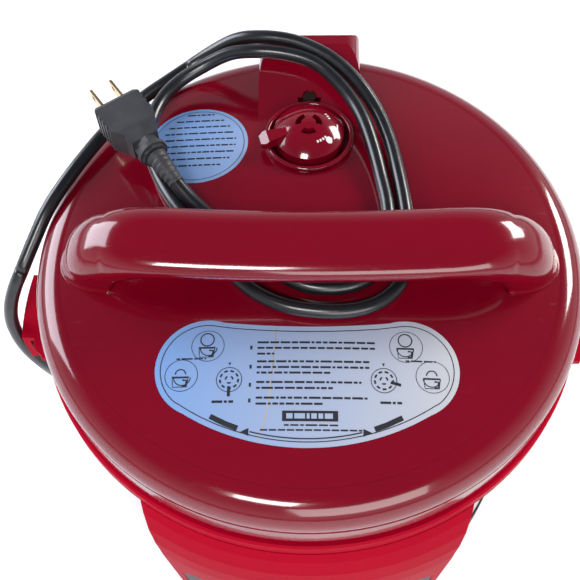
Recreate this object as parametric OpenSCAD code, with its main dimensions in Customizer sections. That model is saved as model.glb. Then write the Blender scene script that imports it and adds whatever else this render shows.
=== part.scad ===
// Electric pressure cooker with a hinged, turning lid and a wrapped power cord.
// Millimetres, +Z up, front of the cooker towards -Y, arched lid handle along X.
// The origin is the centre of the footprint, on the surface the feet stand on.

/* [Lid] */
// Outer radius of the lid cover
lid_r = 150; // [140:1:160]
// Height of the lid's widest line above the table
lid_z = 236; // [225:1:250]
// Height of the dome above the widest line
dome_h = 26; // [22:1:30]
// Radius of the rounded shoulder at the lid's edge
shoulder_r = 16; // [12:1:20]
// Depth of the straight skirt below the widest line
skirt_h = 15; // [12:1:16]
// Wall thickness of the lid cover
lid_wall = 3; // [2.5:0.5:4]

/* [Handle] */
// Width of the arched handle bar
bar_w = 39; // [34:1:42]
// Thickness of the arched handle bar
bar_t = 18; // [16:1:22]
// Height of the bar's middle above the lid's widest line
bar_z = 52; // [48:1:56]
// Lean of the arch towards the front, in degrees
bar_lean = 9; // [4:1:12]

/* [Valves] */
// Distance of the steam valve behind the lid's centre
valve_y = 70; // [66:1:74]
// Radius of the valve knob
knob_r = 20; // [18:1:21]
// Distance of the float valve behind the lid's centre
float_y = 100; // [98:1:100]

/* [Body] */
// Outer radius of the steel wrap
shell_r = 138; // [132:1:140]
// Outer radius of the red rim ring
rim_r = 152; // [151:1:154]
// Radius of the curved front of the control housing
front_r = 163; // [160:1:166]
// Outward reach of the side handles
side_x = 172; // [168:1:176]
// Height of the control panel's upper edge
panel_z = 150; // [146:1:154]
// Outer radius of the fixed steel pot
pot_r = 112; // [110:1:112]

/* [Power cord] */
// Diameter of the cord
cord_d = 8; // [7:0.5:8]
// Spacing of the two plug blades
blade_gap = 12.7; // [12.7:0.1:12.7]

/* [Hidden] */
$fn = 96;
eps = 0.01;
dome_edge = lid_r - shoulder_r;
dome_r = (dome_edge * dome_edge + dome_h * dome_h - shoulder_r * shoulder_r) / (2 * (dome_h - shoulder_r));
bar_span = 120;
bar_y = -9;
bar_rise = bar_z - 16;
bar_r = (bar_span * bar_span + bar_rise * bar_rise) / (2 * bar_rise);
hinge_y = 158;
hinge_z = lid_z - 14;
lug_count = 8;
lug_step = 360 / lug_count;
button_at = [
  [-17, panel_z - 62], [0, panel_z - 62], [17, panel_z - 62],
  [-17, panel_z - 82], [0, panel_z - 82], [17, panel_z - 82]
];
lead_route = [
  [-124, 71.6, 22], [-133, 76.8, 20], [-145, 83, 13], [-158, 87, 7], [-171, 84, 5],
  [-181, 73, 6], [-185, 58, 14], [-184, 42, 28], [-181, 27, 46], [-177, 13, 66],
  [-174, 2, 88], [-172.5, -6, 110], [-173.5, -11, 132], [-176.5, -13, 153],
  [-178.2, -13, 172], [-177.5, -12, 190], [-174, -10, 206], [-168.5, -6, 219.5], [-162, -1, 231]
];
loop_route = [
  [-161.8, -1, 231.2], [-155, 12, 240.5], [-147, 27, 249.8], [-138, 43, 254.6], [-128, 61, 256.8],
  [-118, 78, 257.8], [-108, 93, 257.2], [-98, 107, 255.8], [-87, 119, 254.8], [-74, 129, 257],
  [-59, 134, 265], [-44, 133, 275.5], [-30, 130, 280.5], [-14, 127, 281.5], [0, 122, 280.5],
  [14, 114, 278], [27, 102, 273.5], [38, 86, 268], [45, 66, 265.5], [49, 44, 265.2],
  [52, 20, 264.9], [53, -2, 264.9], [51, -20, 264.8], [45, -33, 264.7], [34, -42, 264.8],
  [20, -46, 265], [5, -46, 265.2], [-10, -43.5, 265.3], [-24, -37, 265.3], [-36, -27, 265.3],
  [-45, -15, 265.2], [-54, -2, 264.9], [-64, 10, 264.9], [-73, 22, 264.7], [-81, 36, 264.3],
  [-87, 50, 263.9], [-91, 65, 263.4], [-91, 81, 262.9], [-87, 97, 262.7], [-78, 110, 264],
  [-63, 118, 269], [-47, 121, 276], [-31, 119, 280], [-14, 117, 280], [2, 112, 278.4],
  [14, 103, 275], [24, 90, 272], [31, 75, 270.2], [36, 58, 267.5], [40, 38, 265.3],
  [43, 16, 265.3], [42, -6, 265.4], [36.5, -21, 265.4], [27, -29.5, 265.5], [14, -33, 265.7],
  [-1, -31.5, 265.9], [-15, -24, 266], [-28, -12, 265.9], [-42, 1, 265.4], [-54.5, 13, 266],
  [-63, 20.5, 268.5], [-70, 27.5, 272], [-76.5, 35, 275.5], [-83, 43.5, 277]
];
split_dir = [0.5, 0, 0.866];
plug_turn = atan2(49, -36);

// ---------------------------------------------------------------- helpers
function unit(v) = v / norm(v);
function route_dir(p, i) = unit(p[min(i + 1, len(p) - 1)] - p[max(i - 1, 0)]);
function side_of(v, t) = unit(v - (v * t) * t);
function route_sides(p, v0) = [
  for (i = 0, v = side_of(v0, route_dir(p, 0)); i < len(p); i = i + 1,
    v = i < len(p) ? side_of(v, route_dir(p, i)) : v) v
];

module swept_cord(p, d, n, v0, t0, t1) {
  s = route_sides(p, v0);
  last = len(p) - 1;
  rings = [
    for (i = [0:last])
      let (t = i == 0 ? t0 : i == last ? t1 : route_dir(p, i))
        let (a = side_of(s[i], t), b = cross(t, a))
          for (k = [0:n - 1]) p[i] + d / 2 * (cos(360 * k / n) * a + sin(360 * k / n) * b)
  ];
  walls = [
    for (i = [0:last - 1])
      for (k = [0:n - 1])
        [i * n + k, (i + 1) * n + k, (i + 1) * n + (k + 1) % n, i * n + (k + 1) % n]
  ];
  first_cap = [for (k = [0:n - 1]) k];
  last_cap = [for (k = [n - 1:-1:0]) last * n + k];
  polyhedron(points = rings, faces = concat(walls, [first_cap, last_cap]));
}

module ring(r_out, r_in, z0, z1) {
  translate([0, 0, z0])
    difference() {
      cylinder(r = r_out, h = z1 - z0);
      translate([0, 0, -1]) cylinder(r = r_in, h = z1 - z0 + 2);
    }
}

module block(x0, x1, y0, y1, z0, z1) {
  translate([x0, y0, z0]) cube([x1 - x0, y1 - y0, z1 - z0]);
}

module screw(head_r, head_h, shank_r, length) {
  difference() {
    union() {
      cylinder(r = head_r, h = head_h);
      translate([0, 0, -length]) cylinder(r = shank_r, h = length + eps);
    }
    translate([-head_r * 0.7, -0.5, head_h - 0.8]) cube([head_r * 1.4, 1, 1]);
    translate([-0.5, -head_r * 0.7, head_h - 0.8]) cube([1, head_r * 1.4, 1]);
  }
}

module sector(r, a0, a1) {
  polygon([[0, 0], [r * cos(a0), r * sin(a0)], [r * cos((a0 + a1) / 2) / cos((a1 - a0) / 2),
    r * sin((a0 + a1) / 2) / cos((a1 - a0) / 2)], [r * cos(a1), r * sin(a1)]]);
}

// Solid dome grown or shrunk by the amount g.
module dome_solid(g, z0) {
  rotate_extrude() {
    intersection() {
      translate([0, lid_z + dome_h - dome_r]) circle(r = dome_r + g, $fn = 720);
      translate([0, lid_z]) square([dome_edge, dome_h + g - 0.01]);
    }
    intersection() {
      translate([dome_edge, lid_z]) circle(r = shoulder_r + g);
      translate([dome_edge - eps, lid_z - 3]) square([60, 60]);
    }
    translate([0, z0]) square([lid_r + g, lid_z - 3 - z0]);
    translate([0, z0]) square([dome_edge, lid_z + 1 - z0]);
  }
}

// Raised tower at the back of the lid, shrunk by g.
module tower_solid(g) {
  intersection() {
    translate([-40, 0, 0])
      rotate([90, 0, 90])
        linear_extrude(height = 80)
          polygon([
            [84, lid_z + 6], [84, lid_z + 21 - g], [92, lid_z + 23 - g], [126, lid_z + 36.5 - g],
            [131, lid_z + 38 - g], [138 - g, lid_z + 38 - g], [141 - g, lid_z + 35 - g],
            [145.5 - g, lid_z + 6]
          ]);
    translate([0, 160, 0])
      rotate([90, 0, 0])
        linear_extrude(height = 100) {
          translate([-30 + g, lid_z]) square([60 - 2 * g, 29]);
          translate([-21 + g, lid_z]) square([42 - 2 * g, 38 - g]);
          translate([-21, lid_z + 29]) circle(r = 9 - g);
          translate([21, lid_z + 29]) circle(r = 9 - g);
        }
  }
}

// Arched bar swept on a circle that leans towards the front.
module arch(w, t, half_angle) {
  translate([0, bar_y, lid_z + 16])
    rotate([bar_lean, 0, 0])
      translate([0, 0, bar_rise - bar_r])
        rotate([90, 0, 0])
          rotate([0, 0, 90 - half_angle])
            rotate_extrude(angle = 2 * half_angle) {
              translate([bar_r - t / 2, t / 2 - w / 2]) square([t, w - t]);
              translate([bar_r, t / 2 - w / 2]) circle(r = t / 2);
              translate([bar_r, w / 2 - t / 2]) circle(r = t / 2);
            }
}

// ---------------------------------------------------------------- base body
module outer_shell() {
  color([0.78, 0.79, 0.8])
    difference() {
      ring(shell_r, shell_r - 1, 30, lid_z - 38.2);
      block(-56, 56, -150, -100, panel_z - 92, panel_z - 2);
      for (s = [-1, 1])
        for (y = [-18, 18])
          translate([s * 130, y, lid_z - 62]) rotate([0, s * 90, 0]) cylinder(r = 2.2, h = 20);
      translate([0, 130, 140]) rotate([-90, 0, 0]) cylinder(r = 2.2, h = 20);
    }
}

module rim_ring() {
  color([0.6, 0.03, 0.06])
    difference() {
      rotate_extrude()
        polygon([
          [pot_r + 0.3, lid_z - 38], [pot_r + 0.3, lid_z - 34.5], [129.5, lid_z - 34.5],
          [129.5, lid_z - 21.5], [136, lid_z - 21.5], [136, lid_z - 19.8], [138, lid_z - 19.8],
          [138, lid_z - 21.5], [150.8, lid_z - 21.5], [rim_r, lid_z - 22.8], [rim_r, lid_z - 31],
          [139.5, lid_z - 31], [139.5, lid_z - 38]
        ]);
      for (a = [45:90:315])
        rotate([0, 0, a]) translate([121, 0, lid_z - 39]) cylinder(r = 1.7, h = 8);
    }
}

module base_pan() {
  color([0.1, 0.1, 0.11])
    difference() {
      union() {
        rotate_extrude()
          polygon([
            [0, 8], [130, 8], [137, 12], [139.5, 18], [139.5, 37], [138.3, 37], [138.3, 29.5],
            [133, 29.5], [133, 18], [128, 12], [0, 12]
          ]);
        for (a = [45:90:315])
          rotate([0, 0, a]) translate([108, 0, 11.9]) cylinder(r = 7, h = 12);
        translate([0, 0, 11.9]) cylinder(r = 9, h = 12);
        rotate([0, 0, 150]) translate([127.2, -13, 11.9]) cube([7, 26, 20]);
      }
      for (a = [45:90:315])
        rotate([0, 0, a]) translate([108, 0, 7]) cylinder(r = 2, h = 20);
      for (a = [0:15:345])
        rotate([0, 0, a]) translate([50, -1.5, 7]) cube([32, 3, 6]);
      rotate([0, 0, 150]) translate([118, 0, 22]) rotate([0, 90, 0]) cylinder(r = 6.05, h = 24);
    }
}

module feet() {
  color([0.05, 0.05, 0.05])
    for (a = [45:90:315])
      rotate([0, 0, a])
        translate([108, 0, 0])
          difference() {
            union() {
              cylinder(r = 10, h = 2);
              translate([0, 0, 1.9]) cylinder(r = 12, h = 6.1);
            }
            translate([0, 0, 3]) cylinder(r = 5, h = 10);
          }
}

module base_screws() {
  color([0.7, 0.7, 0.72])
    for (a = [45:90:315])
      rotate([0, 0, a])
        translate([108, 0, 8])
          rotate([180, 0, 0]) screw(4, 2.2, 2, 11);
}

module side_cover(s) {
  color([0.62, 0.03, 0.06])
    difference() {
      intersection() {
        ring(side_x, shell_r + 0.3, lid_z - 72, lid_z - 48);
        translate([s * 155, 0, lid_z - 73])
          linear_extrude(height = 26) {
            square([44, 44], center = true);
            for (y = [-22, 22])
              translate([-s * 6, y]) circle(r = 14);
            translate([-s * 12, 0]) square([28, 70], center = true);
          }
      }
      translate([0, 0, -eps]) ring(side_x - 4, shell_r + 3.5, lid_z - 73, lid_z - 52);
      for (y = [-18, 18])
        translate([s * 130, y, lid_z - 62]) rotate([0, s * 90, 0]) cylinder(r = 2.2, h = 20);
    }
}

module side_handle_left() {
  side_cover(-1);
}

module side_handle_right() {
  side_cover(1);
}

module side_pad(s) {
  color([0.07, 0.07, 0.08])
    difference() {
      intersection() {
        ring(side_x - 4.3, shell_r + 3.8, lid_z - 60, lid_z - 52.3);
        translate([s * 155, 0, lid_z - 61])
          linear_extrude(height = 14) {
            square([40, 40], center = true);
            translate([-s * 10, 0]) square([24, 60], center = true);
          }
      }
      for (y = [-12, 0, 12])
        block(s > 0 ? 148 : -162, s > 0 ? 162 : -148, y - 1, y + 1, lid_z - 61, lid_z - 58.5);
    }
}

module side_grip_left() {
  side_pad(-1);
}

module side_grip_right() {
  side_pad(1);
}

module handle_screws() {
  color([0.7, 0.7, 0.72])
    for (s = [-1, 1])
      for (y = [-18, 18])
        translate([s * 134.3, y, lid_z - 62]) rotate([0, -s * 90, 0]) screw(3.4, 1.8, 1.9, 9);
}

module housing_outline(g) {
  polygon([
    [-86 + g, lid_z - 31.3 - g], [86 - g, lid_z - 31.3 - g], [79 - g, lid_z - 64],
    [74 - g, lid_z - 110], [63 - g, 34 + g], [57 - g, 28 + g], [-57 + g, 28 + g],
    [-63 + g, 34 + g], [-74 + g, lid_z - 110], [-79 + g, lid_z - 64]
  ]);
}

module front_housing() {
  color([0.66, 0.03, 0.06])
    difference() {
      intersection() {
        rotate_extrude()
          polygon([
            [140, 28], [front_r - 8, 28], [front_r - 3, 34], [front_r, 44], [front_r, lid_z - 68],
            [front_r - 1, lid_z - 56], [front_r - 3.5, lid_z - 45], [front_r - 7.5, lid_z - 36],
            [rim_r + 0.4, lid_z - 31.3], [140, lid_z - 31.3]
          ]);
        translate([0, -100, 0]) rotate([90, 0, 0]) linear_extrude(height = 80) housing_outline(0);
      }
      intersection() {
        rotate_extrude()
          polygon([
            [139, 31], [front_r - 11, 31], [front_r - 6, 37], [front_r - 5.5, 46],
            [front_r - 5.5, lid_z - 66], [148, lid_z - 36], [139, lid_z - 36]
          ]);
        translate([0, -90, 0]) rotate([90, 0, 0]) linear_extrude(height = 100) housing_outline(3);
      }
      panel_shape(front_r - 2.7, front_r + 5, 0.25);
      block(-24, 24, -200, -150, panel_z - 40, panel_z - 12);
      rotate([0, 0, -90]) {
        for (b = button_at)
          rotate([0, 0, b[0]]) translate([front_r - 12, 0, b[1]]) rotate([0, 90, 0]) cylinder(r = 3.8, h = 16);
        for (a = [-19, 19])
          rotate([0, 0, a]) block(front_r - 12, front_r + 2, -3, 3, panel_z - 36, panel_z - 16);
      }
    }
}

// Sector of the curved control fascia, grown by g.
module panel_shape(r_in, r_out, g) {
  intersection() {
    ring(r_out, r_in, 40, panel_z + 20);
    translate([0, -100, 0])
      rotate([90, 0, 0])
        linear_extrude(height = 80)
          polygon([
            [-70 - g, panel_z - 9], [-66, panel_z - 1.5 + g], [-60, panel_z + g], [60, panel_z + g],
            [66, panel_z - 1.5 + g], [70 + g, panel_z - 9], [59 + g, panel_z - 88],
            [53, panel_z - 94 - g], [-53, panel_z - 94 - g], [-59 - g, panel_z - 88]
          ]);
  }
}

module control_panel() {
  color([0.05, 0.05, 0.06])
    difference() {
      panel_shape(front_r - 2.6, front_r - 0.2, 0);
      rotate([0, 0, -90]) {
        for (b = button_at)
          rotate([0, 0, b[0]]) translate([front_r - 10, 0, b[1]]) rotate([0, 90, 0]) cylinder(r = 7.3, h = 20);
        for (z = [-33, -26, -19])
          for (a = [-19, 19])
            rotate([0, 0, a])
              translate([front_r - 10, 0, panel_z + z]) rotate([0, 90, 0]) cylinder(r = 1.5, h = 20);
      }
      intersection() {
        ring(front_r + 2, front_r - 1.6, panel_z - 46, panel_z - 6);
        block(-32, 32, -200, -100, panel_z - 45, panel_z - 7);
      }
      block(-24, 24, -200, -100, panel_z - 40, panel_z - 12);
    }
}

module display_window() {
  color([0.02, 0.02, 0.03, 0.8])
    intersection() {
      ring(front_r - 0.2, front_r - 1.5, panel_z - 44.7, panel_z - 7.3);
      block(-31.7, 31.7, -200, -100, 50, panel_z);
    }
}

module display_module() {
  color([0.12, 0.13, 0.12])
    difference() {
      block(-23.5, 23.5, -157, -152, panel_z - 39, panel_z - 13);
      for (x = [-17.5, -6.5, 4.5, 15.5])
        block(x - 3.2, x + 3.2, -158, -156.4, panel_z - 34, panel_z - 18);
    }
}

module button(i) {
  color([0.55, 0.56, 0.58])
    rotate([0, 0, -90 + button_at[i][0]])
      translate([front_r - 4.6, 0, button_at[i][1]])
        rotate([0, 90, 0]) {
          translate([0, 0, 3.3]) cylinder(r = 7, h = 2.2);
          cylinder(r = 3.2, h = 3.4);
        }
}

module button_1() {
  button(0);
}

module button_2() {
  button(1);
}

module button_3() {
  button(2);
}

module button_4() {
  button(3);
}

module button_5() {
  button(4);
}

module button_6() {
  button(5);
}

module control_board() {
  color([0.05, 0.3, 0.12]) {
    difference() {
      block(-50, 50, -147.6, -146, panel_z - 91, panel_z - 5);
      for (x = [-46, 46])
        for (z = [-87, -9])
          translate([x, -140, panel_z + z]) rotate([90, 0, 0]) cylinder(r = 1.6, h = 12);
    }
    block(-36, -22, -145.99, -141, panel_z - 30, panel_z - 12);
    block(-8, 10, -145.99, -142.5, panel_z - 50, panel_z - 32);
    block(24, 42, -145.99, -141, panel_z - 84, panel_z - 68);
  }
}

module outer_pot() {
  color([0.75, 0.76, 0.78])
    difference() {
      union() {
        ring(pot_r, pot_r - 1.5, 50, lid_z - 21.5);
        ring(pot_r, 22, 48.5, 50.1);
        ring(pot_r + 2, pot_r - 1.5, lid_z - 24, lid_z - 21.5);
        for (i = [0:lug_count - 1])
          rotate([0, 0, (i + 0.5) * lug_step + 22.5])
            intersection() {
              ring(122, pot_r - 1, lid_z - 24, lid_z - 21.5);
              translate([0, 0, lid_z - 25]) linear_extrude(height = 5) sector(200, -9, 9);
            }
      }
      for (a = [60:60:360])
        rotate([0, 0, a]) translate([pot_r - 16, 0, 47]) cylinder(r = 3, h = 6);
      for (y = [-9, 9])
        translate([-66.1, y, 47]) cylinder(r = 4, h = 6);
    }
}

module heating_plate() {
  color([0.72, 0.73, 0.74])
    difference() {
      translate([0, 0, 56]) cylinder(r = 84, h = 5.5);
      translate([0, 0, 50]) cylinder(r = 19, h = 20);
      translate([0, 0, 55.9]) rotate_extrude() translate([62, 0.1]) square([8.2, 4]);
      for (a = [60:60:360])
        rotate([0, 0, a]) translate([76, 0, 55]) cylinder(r = 1.6, h = 4);
    }
}

module heating_element() {
  color([0.35, 0.34, 0.33]) {
    translate([0, 0, 56]) rotate_extrude() translate([66.1, 0]) circle(r = 3.6);
    for (y = [-9, 9])
      translate([-66.1, y, 38]) cylinder(r = 2.5, h = 15.5);
  }
}

module plate_posts() {
  color([0.7, 0.7, 0.72])
    for (a = [60:60:360])
      rotate([0, 0, a])
        translate([76, 0, 50.2])
          cylinder(r = 4, h = 5.7);
}

module inner_pot() {
  color([0.55, 0.56, 0.58]) {
    rotate_extrude()
      polygon([
        [0, 62], [95, 62], [103, 65], [106, 72], [106, lid_z - 21], [112.5, lid_z - 21],
        [112.5, lid_z - 19.2], [104, lid_z - 19.2], [104, 73], [101.5, 67], [95, 64.2], [0, 64.2]
      ]);
  }
}

module sensor_cap() {
  color([0.8, 0.8, 0.82])
    difference() {
      union() {
        translate([0, 0, 53]) cylinder(r = 15, h = 8.7);
        translate([0, 0, 51]) cylinder(r = 17, h = 2.1);
      }
      translate([0, 0, 50]) cylinder(r = 13, h = 9);
    }
}

module sensor_spring() {
  color([0.6, 0.6, 0.6])
    for (i = [0:5])
      translate([0, 0, 44.5 + i * 2.4]) rotate_extrude() translate([10, 0]) circle(r = 0.8);
}

module sensor_seat() {
  color([0.75, 0.75, 0.76])
    difference() {
      union() {
        translate([0, 0, 40]) cylinder(r = 18.5, h = 3.5);
        ring(20.5, 17.6, 40, 48);
        ring(30, 17.6, 45.9, 48.2);
      }
      translate([0, 0, 39]) cylinder(r = 4, h = 8);
    }
}

module terminal_block() {
  color([0.85, 0.83, 0.75])
    difference() {
      block(-94, -72, 28, 62, 14, 27);
      for (y = [34:11:56])
        translate([-83, y, 20]) cylinder(r = 3, h = 10);
    }
}

module cord_gland() {
  color([0.05, 0.05, 0.05])
    rotate([0, 0, 150])
      translate([0, 0, 22])
        rotate([0, 90, 0]) {
          translate([0, 0, 123.5]) cylinder(r = 8, h = 3.5);
          translate([0, 0, 126.9]) cylinder(r = 6, h = 13.2);
          translate([0, 0, 140]) cylinder(r = 7.5, h = 3.2);
        }
}

module cup_bracket() {
  color([0.09, 0.09, 0.1])
    difference() {
      union() {
        intersection() {
          ring(143, shell_r + 0.3, 115.5, 150);
          block(-24, 24, 100, 160, 115.5, 150);
        }
        block(-24, -21, 136, 147.5, 115.5, 150);
        block(21, 24, 136, 147.5, 115.5, 150);
        block(-24, -19, 145, 147.5, 115.5, 150);
        block(19, 24, 145, 147.5, 115.5, 150);
        block(-22, 22, 142, 147.5, 115.5, 118.2);
      }
      cylinder(r = shell_r + 0.3, h = 300);
      translate([0, 130, 140]) rotate([-90, 0, 0]) cylinder(r = 2.2, h = 20);
    }
}

module bracket_screw() {
  color([0.7, 0.7, 0.72])
    translate([0, 143.2, 140]) rotate([-90, 0, 0]) screw(3.6, 1.2, 2, 7.5);
}

module condensation_cup() {
  color([0.85, 0.88, 0.9, 0.5]) {
    difference() {
      block(-25, 25, 148, front_r + 0.9, 112, 168);
      block(-23.2, 23.2, 149.8, front_r - 0.9, 113.8, 170);
    }
    block(-17, 17, 144.6, 148.01, 118.5, 122);
    for (s = [-1, 1])
      block(s * 17.2 - 1.3, s * 17.2 + 1.3, 144.6, 148.01, 118.5, 149);
  }
}

// ---------------------------------------------------------------- turning carriage
module carriage_ring() {
  color([0.3, 0.3, 0.32])
    difference() {
      union() {
        ring(135.5, 129.6, lid_z - 21.2, lid_z - 18.2);
        difference() {
          intersection() {
            ring(hinge_y, 130, lid_z - 19.5, lid_z - 17);
            block(-26, 26, 100, hinge_y, lid_z - 25, lid_z);
          }
          cylinder(r = 129.6, h = 400);
        }
        for (x = [-26, 14]) {
          translate([x, hinge_y, hinge_z]) rotate([0, 90, 0]) cylinder(r = 5, h = 12);
          block(x, x + 12, 152, hinge_y, lid_z - 19, lid_z - 14);
        }
      }
      block(-13.9, 13.9, 152.4, 170, lid_z - 30, lid_z);
      translate([-40, hinge_y, hinge_z]) rotate([0, 90, 0]) cylinder(r = 2.5, h = 80);
    }
}

module hinge_pin() {
  color([0.8, 0.8, 0.82])
    translate([-27, hinge_y, hinge_z])
      rotate([0, 90, 0]) {
        cylinder(r = 2.5, h = 54);
        translate([0, 0, -1.5]) cylinder(r = 3.6, h = 1.5 + eps);
      }
}

// ---------------------------------------------------------------- lid body
module lid_cover() {
  color([0.5, 0.02, 0.05])
    difference() {
      union() {
        dome_solid(0, lid_z - skirt_h);
        tower_solid(0);
        translate([-13.5, hinge_y, hinge_z]) rotate([0, 90, 0]) cylinder(r = 5, h = 27);
        block(-13.5, 13.5, 146.5, hinge_y, hinge_z - 0.9, hinge_z + 5);
      }
      difference() {
        union() {
          dome_solid(-lid_wall, lid_z - skirt_h - 5);
          intersection() {
            tower_solid(lid_wall);
            translate([0, 0, lid_z - 20]) cylinder(r = lid_r - lid_wall, h = 90);
          }
        }
        translate([0, valve_y, 0]) cylinder(r = 29, h = 400);
        translate([0, float_y, 0]) cylinder(r = 9, h = 400);
        for (a = [0:90:270])
          rotate([0, 0, a + 45]) translate([96, 0, 0]) cylinder(r = 5, h = 400);
        for (s = [-1, 1])
          translate([s * 100, -7, 0]) cylinder(r = 7, h = 400);
      }
      translate([0, valve_y, 0]) {
        translate([0, 0, lid_z + 15]) cylinder(r = 25, h = 60);
        cylinder(r = 24, h = lid_z + 12);
        cylinder(r = 6.2, h = 400);
      }
      translate([0, float_y, 0]) {
        cylinder(r = 7, h = lid_z + 26);
        cylinder(r = 4.2, h = 400);
      }
      cylinder(r = 128, h = lid_z - 4);
      for (a = [0:90:270])
        rotate([0, 0, a + 45]) translate([96, 0, 0]) cylinder(r = 1.5, h = lid_z + 12);
      for (s = [-1, 1])
        translate([s * 100, -7, 0]) {
          cylinder(r = 2.1, h = 400);
          cylinder(r = 4.5, h = lid_z + 12);
        }
      translate([-20, hinge_y, hinge_z]) rotate([0, 90, 0]) cylinder(r = 2.55, h = 40);
      label_well();
    }
}

module label_well() {
  intersection() {
    difference() {
      dome_solid(5, lid_z);
      dome_solid(-0.35, lid_z);
    }
    union() {
      translate([0, 0, lid_z]) linear_extrude(height = 60) bean(0.2);
      translate([0, 0, lid_z]) linear_extrude(height = 60) oval(0.2);
    }
  }
}

// Kidney outline of the front label, grown by g.
module bean(g) {
  for (s = [-1, 1])
    translate([s * 50, -74.5]) circle(r = 25.6 + g);
  difference() {
    intersection() {
      circle(r = 115 + g);
      polygon([
        [-50, -40], [50, -40], [50, -74.5], [70, -104.3], [70, -130], [-70, -130],
        [-70, -104.3], [-50, -74.5]
      ]);
    }
    translate([0, 306.3]) circle(r = 359 - g, $fn = 360);
  }
}

module oval(g) {
  translate([-64, 68]) circle(r = 29 + g);
}

module label_front() {
  color([0.85, 0.86, 0.9])
    intersection() {
      difference() {
        dome_solid(0, lid_z);
        dome_solid(-0.3, lid_z);
      }
      translate([0, 0, lid_z]) linear_extrude(height = 60) bean(0);
    }
}

module label_side() {
  color([0.8, 0.83, 0.88])
    intersection() {
      difference() {
        dome_solid(0, lid_z);
        dome_solid(-0.3, lid_z);
      }
      translate([0, 0, lid_z]) linear_extrude(height = 60) oval(0);
    }
}

module lid_handle() {
  color([0.52, 0.02, 0.05])
    difference() {
      arch(bar_w, bar_t, 34);
      dome_solid(0.05, 200);
      translate([0, 0, -1]) arch(bar_w - 9, bar_t - 9, 25);
      handle_split();
      for (s = [-1, 1])
        translate([s * 100, -7, 0]) cylinder(r = 1.6, h = lid_z + 33);
    }
}

// Space below the joint line of the two handle halves.
module handle_split() {
  translate([0, bar_y, lid_z + 16])
    rotate([bar_lean, 0, 0])
      translate([0, 0, bar_rise - bar_r])
        rotate([90, 0, 0])
          translate([0, 0, -60])
            intersection() {
              cylinder(r = bar_r - bar_t / 2 + 6, h = 120);
              translate([-74, 0, -1]) cube([148, bar_r + 20, 130]);
            }
}

module handle_underside() {
  color([0.45, 0.02, 0.05])
    intersection() {
      difference() {
        arch(bar_w - 0.02, bar_t, 34);
        translate([0, 0, -1.01]) arch(bar_w - 9, bar_t - 9, 25);
        dome_solid(0.05, 200);
      }
      translate([0, bar_y, lid_z + 16])
        rotate([bar_lean, 0, 0])
          translate([0, 0, bar_rise - bar_r])
            rotate([90, 0, 0])
              translate([0, 0, -60])
                intersection() {
                  cylinder(r = bar_r - bar_t / 2 + 5.85, h = 120);
                  translate([-73.8, 0, -1]) cube([147.6, bar_r + 20, 130]);
                }
    }
}

module handle_bolts() {
  color([0.7, 0.7, 0.72])
    for (s = [-1, 1])
      translate([s * 100, -7, lid_z + 12])
        rotate([180, 0, 0]) screw(4, 2.4, 1.6, 18);
}

module lid_plate() {
  color([0.8, 0.81, 0.82])
    difference() {
      union() {
        translate([0, 0, lid_z - 6]) cylinder(r = 127, h = 1.6);
        ring(127, 125.5, lid_z - 30, lid_z - 5.9);
        for (i = [0:lug_count - 1])
          rotate([0, 0, i * lug_step + 22.5])
            intersection() {
              ring(126, 118.5, lid_z - 30, lid_z - 27);
              translate([0, 0, lid_z - 31]) linear_extrude(height = 6) sector(200, -9, 9);
            }
        ring(107.2, 105.9, lid_z - 16, lid_z - 5.9);
      }
      translate([0, valve_y, 0]) cylinder(r = 5, h = 400);
      translate([0, float_y, 0]) cylinder(r = 5, h = 400);
      for (a = [0:90:270])
        rotate([0, 0, a + 45]) translate([96, 0, 0]) cylinder(r = 2, h = 400);
    }
}

module sealing_gasket() {
  color([0.85, 0.85, 0.82])
    difference() {
      rotate_extrude()
        polygon([
          [107.5, lid_z - 18.9], [116, lid_z - 18.9], [119, lid_z - 16], [119, lid_z - 7],
          [117, lid_z - 6.1], [107.5, lid_z - 6.1]
        ]);
      ring(115.2, 110.8, lid_z - 14, lid_z - 9.6);
      ring(113, 111, lid_z - 19, lid_z - 16.5);
    }
}

module gasket_hoop() {
  color([0.8, 0.8, 0.82])
    translate([0, 0, lid_z - 11.8]) rotate_extrude() translate([113, 0]) circle(r = 1.8);
}

module lid_screws() {
  color([0.7, 0.7, 0.72])
    for (a = [0:90:270])
      rotate([0, 0, a + 45])
        translate([96, 0, lid_z - 6.05])
          rotate([180, 0, 0]) screw(3.8, 2.2, 1.5, 13);
}

module exhaust_stem() {
  color([0.8, 0.8, 0.82])
    translate([0, valve_y, 0])
      difference() {
        union() {
          translate([0, 0, lid_z - 12]) cylinder(r = 5, h = 33);
          translate([0, 0, lid_z - 4.3]) cylinder(r = 9, h = 3);
          translate([0, 0, lid_z - 8.4]) cylinder(r = 8, h = 2.3);
        }
        translate([0, 0, lid_z - 20]) cylinder(r = 2.2, h = 80);
      }
}

module clog_shield() {
  color([0.75, 0.76, 0.77])
    translate([0, valve_y, 0])
      difference() {
        union() {
          ring(14, 12.8, lid_z - 20, lid_z - 6.1);
          translate([0, 0, lid_z - 20]) cylinder(r = 14, h = 1.2);
        }
        for (a = [0:45:315])
          rotate([0, 0, a]) translate([10, -1.5, lid_z - 16]) cube([8, 3, 7]);
        for (a = [0:60:300])
          rotate([0, 0, a]) translate([7, 0, lid_z - 21]) cylinder(r = 1.3, h = 4);
      }
}

module valve_bezel() {
  color([0.55, 0.02, 0.05])
    difference() {
      translate([0, valve_y, 0]) {
        ring(24.9, 22.5, lid_z + 15.1, lid_z + 26.6);
        translate([0, 0, lid_z + 26.6]) rotate_extrude() translate([24, 0]) circle(r = 1.5);
      }
      difference() {
        tower_solid(-0.1);
        translate([0, valve_y, 0]) cylinder(r = 24.95, h = 400);
      }
    }
}

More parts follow.
